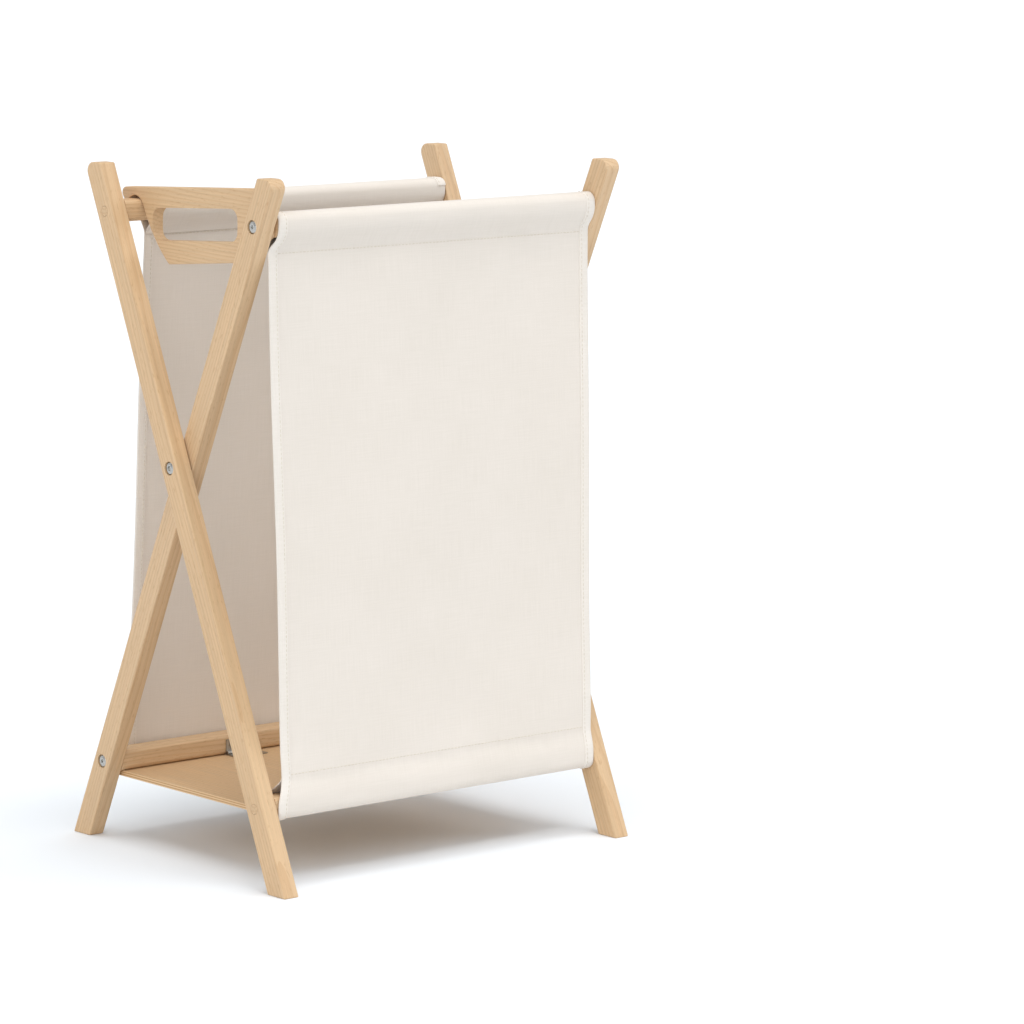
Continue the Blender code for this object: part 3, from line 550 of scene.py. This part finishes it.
def back_cloth():
    """The back canvas: the upper sleeve, and the panel down to its foot behind the bottom back rail."""
    top = rail_centre("rail_top_back", False)
    bottom = rail_centre("rail_bottom_back", False)
    panel_low, panel_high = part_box("panel_back")
    down = (bottom - top) / np.linalg.norm(bottom - top)
    out = np.array([-down[1], down[0]])
    seam_top = top + down * SEAM_DROP_TOP + out * SEAM_FACE
    foot = np.array([panel_high.y - CLOTH_THICK, panel_low.z + FOOT_CLEAR])
    upper = sleeve(top, seam_top, 1)
    middle = [seam_top + (foot - seam_top) * row / PANEL_ROWS for row in range(1, PANEL_ROWS + 1)]
    hem_left, hem_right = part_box("hem_top_back")[0].x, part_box("hem_top_back")[1].x
    low_left, low_right = span_of("panel_back", min)
    points = upper + middle
    spans = []
    for index in range(len(points)):
        share = max(0, index - len(upper) + 1) / PANEL_ROWS
        waist = WAIST * math.sin(math.pi * share)
        spans.append((hem_left + (low_left - hem_left) * share + waist,
                      hem_right + (low_right - hem_right) * share - waist))
    cloth = lay_out(points, spans)
    start = nearest_row(cloth, seam_top, SEAM_SEARCH)
    cloth.update(seams=(cloth["run"][start], cloth["run"][-1] - TURNED_HEM), seed=4.4, front=False,
                 seam_points=(seam_top, bottom + out * SLEEVE_HALF - down * 0.012))
    return cloth


back = back_cloth()
canvas_back = canvas_sheet("canvas_back", back, canvas)
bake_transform(canvas_back)
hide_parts("hem_top_back", "panel_back")

# ---------------------------------------------------------------------------------------------
# Edge bindings. A strip of the canvas is folded round each raw side edge, 10 mm wide on both faces,
# and follows the edge up over the sleeves. It stands a cloth's thickness proud of the panel.
# ---------------------------------------------------------------------------------------------
BIND_THICK = 0.0008
BIND_OFF = 0.00095
BIND_OVER_FRONT = 0.052
BIND_OVER_BACK = 0.066
binding_canvas = unbleached_canvas("cotton_canvas_binding", "#e8e0d7", "#e0d8cd")


def bind_edge(name, cloth, left_side, start, end):
    """A folded strip along one side of a cloth, between two distances along its run."""
    keep = (cloth["run"] >= start - 1e-9) & (cloth["run"] <= end + 1e-9)
    runs = cloth["run"][keep]
    ends = cloth["ends"][keep]
    width = ends[:, 1] - ends[:, 0]
    panel = ease((runs - cloth["seams"][0]) / 0.006) * ease((cloth["seams"][1] - runs) / 0.006 + 1)
    section = [(EDGE_TURN, 0.35), (EDGE_TURN - 0.0004, 1.0), (EDGE_TURN * 0.6, 1.06),
               (EDGE_TURN * 0.25, 1.04), (0.0002, 1.0), (-0.0005, 0.62), (-0.0007, 0.0),
               (-0.0005, -0.62), (0.0002, -1.0),
               (EDGE_TURN * 0.5, -1.04), (EDGE_TURN - 0.0004, -1.0), (EDGE_TURN, -0.35)]
    rows, uv_rows = [], []
    for inset, side in section:
        share = inset / width
        across = share if left_side else 1 - share
        reach = side * BIND_OFF
        off = reach if side > 0 else reach * (0.1 + 0.9 * panel)
        rows.append(on_cloth(cloth, across, runs, off))
        uv_rows.append(np.stack([np.full(len(runs), inset + side * 0.01), runs], axis=-1))
    return sew_sheet(name, np.array(rows), np.array(uv_rows), BIND_THICK, binding_canvas)


FRONT_RUNS = (front["seams"][0] - BIND_OVER_FRONT, front["seams"][1] + BIND_OVER_FRONT)
BACK_RUNS = (back["seams"][0] - BIND_OVER_BACK, back["run"][-1])
bindings = {"front": [], "back": []}
for side in ("left", "right"):
    strip = bind_edge("binding_front_" + side, front, side == "left", *FRONT_RUNS)
    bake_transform(strip)
    bindings["front"].append(strip)
    strip = bind_edge("binding_back_" + side, back, side == "left", *BACK_RUNS)
    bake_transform(strip)
    bindings["back"].append(strip)

# ---------------------------------------------------------------------------------------------
# Turned hem at the back canvas's foot. The raw edge is turned up 14 mm on the outside and sewn.
# ---------------------------------------------------------------------------------------------
hem_runs = np.linspace(back["run"][-1] - TURNED_HEM, back["run"][-1], 8)
hem_across = np.linspace(0.028, 0.972, COLUMNS + 1)
hem_rows = on_cloth(back, hem_across[None, :], hem_runs[:, None], CLOTH_THICK * 1.05)
hem_uv = np.stack(np.broadcast_arrays(hem_across[None, :] * 0.37, hem_runs[:, None]), axis=-1)
hem_back_foot = sew_sheet("hem_back_foot", hem_rows, hem_uv, CLOTH_THICK, canvas)
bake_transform(hem_back_foot)

# ---------------------------------------------------------------------------------------------
# Stitches. Lock stitches in heavy cotton thread, one every 4.5 mm, along each sleeve's seam and
# down each binding, on both faces of the cloth. Each stitch dips into the canvas at its ends.
# ---------------------------------------------------------------------------------------------
STITCH_PITCH = 0.0045
STITCH_LENGTH = 0.0034
THREAD_WIDTH = 0.0009
STITCH_SEED = 7
STITCH_INSET = 0.0012
TURN_STITCH_INSET = 0.0015
STITCH_STOP = 0.003


def thread_finish():
    """Twisted cotton thread: a warm dull white, a little yellower than the canvas."""
    finish, tree, shader = new_finish("cotton_thread", 0.75)
    place = add(tree, "ShaderNodeTexCoord").outputs["Object"]
    twist = add(tree, "ShaderNodeTexNoise", {"Vector": place, "Scale": 1400.0, "Detail": 1.0})
    tint = add(tree, "ShaderNodeMix", {"Factor": twist.outputs["Fac"], 6: linear("#e2d9cb"),
                                       7: linear("#c9bca9")}, data_type="RGBA")
    tree.links.new(tint.outputs[2], shader.inputs["Base Color"])
    return finish


def stitch_tree(finish):
    """Lays a stitch at every pitch along the seam lines that it is given."""
    tree = bpy.data.node_groups.new("lock_stitches", "GeometryNodeTree")
    face = tree.interface
    face.new_socket("Seams", in_out="INPUT", socket_type="NodeSocketGeometry")
    for label, value in (("Pitch", STITCH_PITCH), ("Length", STITCH_LENGTH), ("Thread", THREAD_WIDTH)):
        socket = face.new_socket(label, in_out="INPUT", socket_type="NodeSocketFloat")
        socket.default_value = value
    seed = face.new_socket("Seed", in_out="INPUT", socket_type="NodeSocketInt")
    seed.default_value = STITCH_SEED
    face.new_socket("Stitches", in_out="OUTPUT", socket_type="NodeSocketGeometry")
    given = add(tree, "NodeGroupInput")
    lines = add(tree, "GeometryNodeMeshToCurve", {"Mesh": given.outputs["Seams"]})
    even = add(tree, "GeometryNodeCurveToPoints", {"Curve": lines.outputs[0],
                                                   "Length": given.outputs["Pitch"]}, mode="LENGTH")
    ball = add(tree, "GeometryNodeMeshUVSphere", {"Segments": 6, "Rings": 5, "Radius": 0.5})
    size = add(tree, "ShaderNodeCombineXYZ", {"X": given.outputs["Thread"], "Y": given.outputs["Thread"],
                                              "Z": given.outputs["Length"]})
    stitch = add(tree, "GeometryNodeTransform", {"Geometry": ball.outputs["Mesh"], "Scale": size.outputs[0]})
    aim = add(tree, "FunctionNodeAlignRotationToVector", {"Vector": even.outputs["Tangent"]}, axis="Z")
    wobble = add(tree, "FunctionNodeRandomValue", {0: (-0.05, -0.05, -0.05), 1: (0.05, 0.05, 0.05),
                                                   "Seed": given.outputs["Seed"]},
                 data_type="FLOAT_VECTOR")
    loose = add(tree, "FunctionNodeRotateRotation", {"Rotation": aim.outputs[0],
                                                     "Rotate By": wobble.outputs[0]})
    uneven = add(tree, "FunctionNodeRandomValue", {2: 0.9, 3: 1.08, "Seed": given.outputs["Seed"]},
                 data_type="FLOAT")
    laid = add(tree, "GeometryNodeInstanceOnPoints", {"Points": even.outputs["Points"],
                                                      "Instance": stitch.outputs[0],
                                                      "Rotation": loose.outputs[0],
                                                      "Scale": uneven.outputs[1]})
    real = add(tree, "GeometryNodeRealizeInstances", {"Geometry": laid.outputs[0]})
    coloured = add(tree, "GeometryNodeSetMaterial", {"Geometry": real.outputs[0], "Material": finish})
    done = add(tree, "NodeGroupOutput")
    tree.links.new(coloured.outputs[0], done.inputs[0])
    return tree


stitches = stitch_tree(thread_finish())


def sew(name, lines):
    """One plain mesh of stitches along several lines of points."""
    points, edges = [], []
    for line in lines:
        first = len(points)
        points += [tuple(p) for p in line]
        edges += [(first + i, first + i + 1) for i in range(len(line) - 1)]
    mesh = bpy.data.meshes.new(name)
    mesh.from_pydata(points, edges, [])
    piece = bpy.data.objects.new(name, mesh)
    bpy.context.collection.objects.link(piece)
    nodes = piece.modifiers.new("stitches", "NODES")
    nodes.node_group = stitches
    for item in stitches.interface.items_tree:
        if item.in_out == "INPUT" and item.name in ("Pitch", "Length", "Thread", "Seed"):
            nodes[item.identifier] = item.default_value
    return settle(piece)


def seam_lines(cloth, hems, binding_runs):
    """Stitch lines: across at each hem's run, and down both bindings, on the cloth's two faces."""
    lines = []
    across = np.linspace(0.03, 0.97, 260)
    for run in hems:
        lines.append(on_cloth(cloth, across, run, CLOTH_THICK * 0.5))
        lines.append(on_cloth(cloth, across, run, -CLOTH_THICK * 0.5 - LAYER * 0.9))
    runs = np.linspace(*binding_runs, 420)
    width = np.interp(runs, cloth["run"], cloth["ends"][:, 1] - cloth["ends"][:, 0])
    panel = (runs > cloth["seams"][0]) & (runs < cloth["seams"][1])
    for side in (0, 1):
        share = (EDGE_TURN - 0.0022) / width
        across_edge = share if side == 0 else 1 - share
        top_off = BIND_OFF + BIND_THICK * 0.45
        lines.append(on_cloth(cloth, across_edge, runs, top_off))
        lines.append(on_cloth(cloth, across_edge, runs, -top_off)[panel])
    return lines


front_hems = [front["seams"][0] + STITCH_INSET, front["seams"][1] - STITCH_INSET]
stitches_front = sew("stitches_front", seam_lines(front, front_hems, FRONT_RUNS))
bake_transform(stitches_front)
back_hems = [back["seams"][0] + STITCH_INSET, back["seams"][1] + TURN_STITCH_INSET]
stitches_back = sew("stitches_back", seam_lines(back, back_hems, (BACK_RUNS[0], BACK_RUNS[1] - STITCH_STOP)))
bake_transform(stitches_back)

# ---------------------------------------------------------------------------------------------
# Studio. A plain pale floor under broad soft lights, and the camera at the front left corner.
# ---------------------------------------------------------------------------------------------
FLOOR_HALF = 60.0
FLOOR_WHITE = "#eef1f4"
AIR_COLOUR = (0.91, 0.955, 1.0, 1.0)
AIR_STRENGTH = 0.55
studio = bpy.context.scene
studio.view_settings.view_transform = "Standard"
floor_mesh = bpy.data.meshes.new("studio_floor")
floor_mesh.from_pydata([(-FLOOR_HALF, -FLOOR_HALF, 0), (FLOOR_HALF, -FLOOR_HALF, 0),
                        (FLOOR_HALF, FLOOR_HALF, 0), (-FLOOR_HALF, FLOOR_HALF, 0)], [], [(0, 1, 2, 3)])
floor = bpy.data.objects.new("studio_floor", floor_mesh)
bpy.context.collection.objects.link(floor)
floor_finish, _, floor_shader = new_finish("matt_floor", 0.9)
floor_shader.inputs["Base Color"].default_value = linear(FLOOR_WHITE)
floor_shader.inputs["Specular IOR Level"].default_value = 0.1
floor_mesh.materials.append(floor_finish)

world = bpy.data.worlds.new("studio_air")
studio.world = world
world.use_nodes = True
world.node_tree.nodes["Background"].inputs["Color"].default_value = AIR_COLOUR
world.node_tree.nodes["Background"].inputs["Strength"].default_value = AIR_STRENGTH

SUNS = {
    "overhead": ((math.radians(12), math.radians(-2), 0), 1.85, 44),
    "front_fill": ((math.radians(64), 0, math.radians(58)), 0.52, 24),
    "left_fill": ((math.radians(72), 0, math.radians(-60)), 0.86, 50),
    "back_fill": ((math.radians(-62), 0, math.radians(25)), 0.25, 60),
}
for label, (turn, strength, spread) in SUNS.items():
    lamp = bpy.data.lights.new(label, "SUN")
    lamp.energy = strength
    lamp.angle = math.radians(spread)
    holder = bpy.data.objects.new(label, lamp)
    holder.rotation_euler = Euler(turn)
    bpy.context.collection.objects.link(holder)

AZIMUTH = math.radians(-41.33)
ELEVATION = math.radians(8.87)
ROLL = math.radians(0.71)
DISTANCE = 5.0198
FOCAL_SHARE = 4.7201
SENSOR = 36.0
AIM_RIGHT = 0.16268
AIM_UP = 0.33604
FAR_CLIP = 200
back_way = Vector((math.sin(AZIMUTH) * math.cos(ELEVATION), -math.cos(AZIMUTH) * math.cos(ELEVATION),
                   math.sin(ELEVATION)))
right_way = Vector((math.cos(AZIMUTH), math.sin(AZIMUTH), 0))
up_way = back_way.cross(right_way)
right_rolled = right_way * math.cos(ROLL) + up_way * math.sin(ROLL)
up_rolled = up_way * math.cos(ROLL) - right_way * math.sin(ROLL)
lens = bpy.data.cameras.new("camera")
lens.sensor_width = SENSOR
lens.lens = FOCAL_SHARE * SENSOR
lens.clip_end = FAR_CLIP
camera = bpy.data.objects.new("camera", lens)
place = right_way * AIM_RIGHT + up_way * AIM_UP + back_way * DISTANCE
camera.matrix_world = Matrix(((right_rolled.x, up_rolled.x, back_way.x, place.x),
                              (right_rolled.y, up_rolled.y, back_way.y, place.y),
                              (right_rolled.z, up_rolled.z, back_way.z, place.z),
                              (0, 0, 0, 1)))
bpy.context.collection.objects.link(camera)
studio.camera = camera
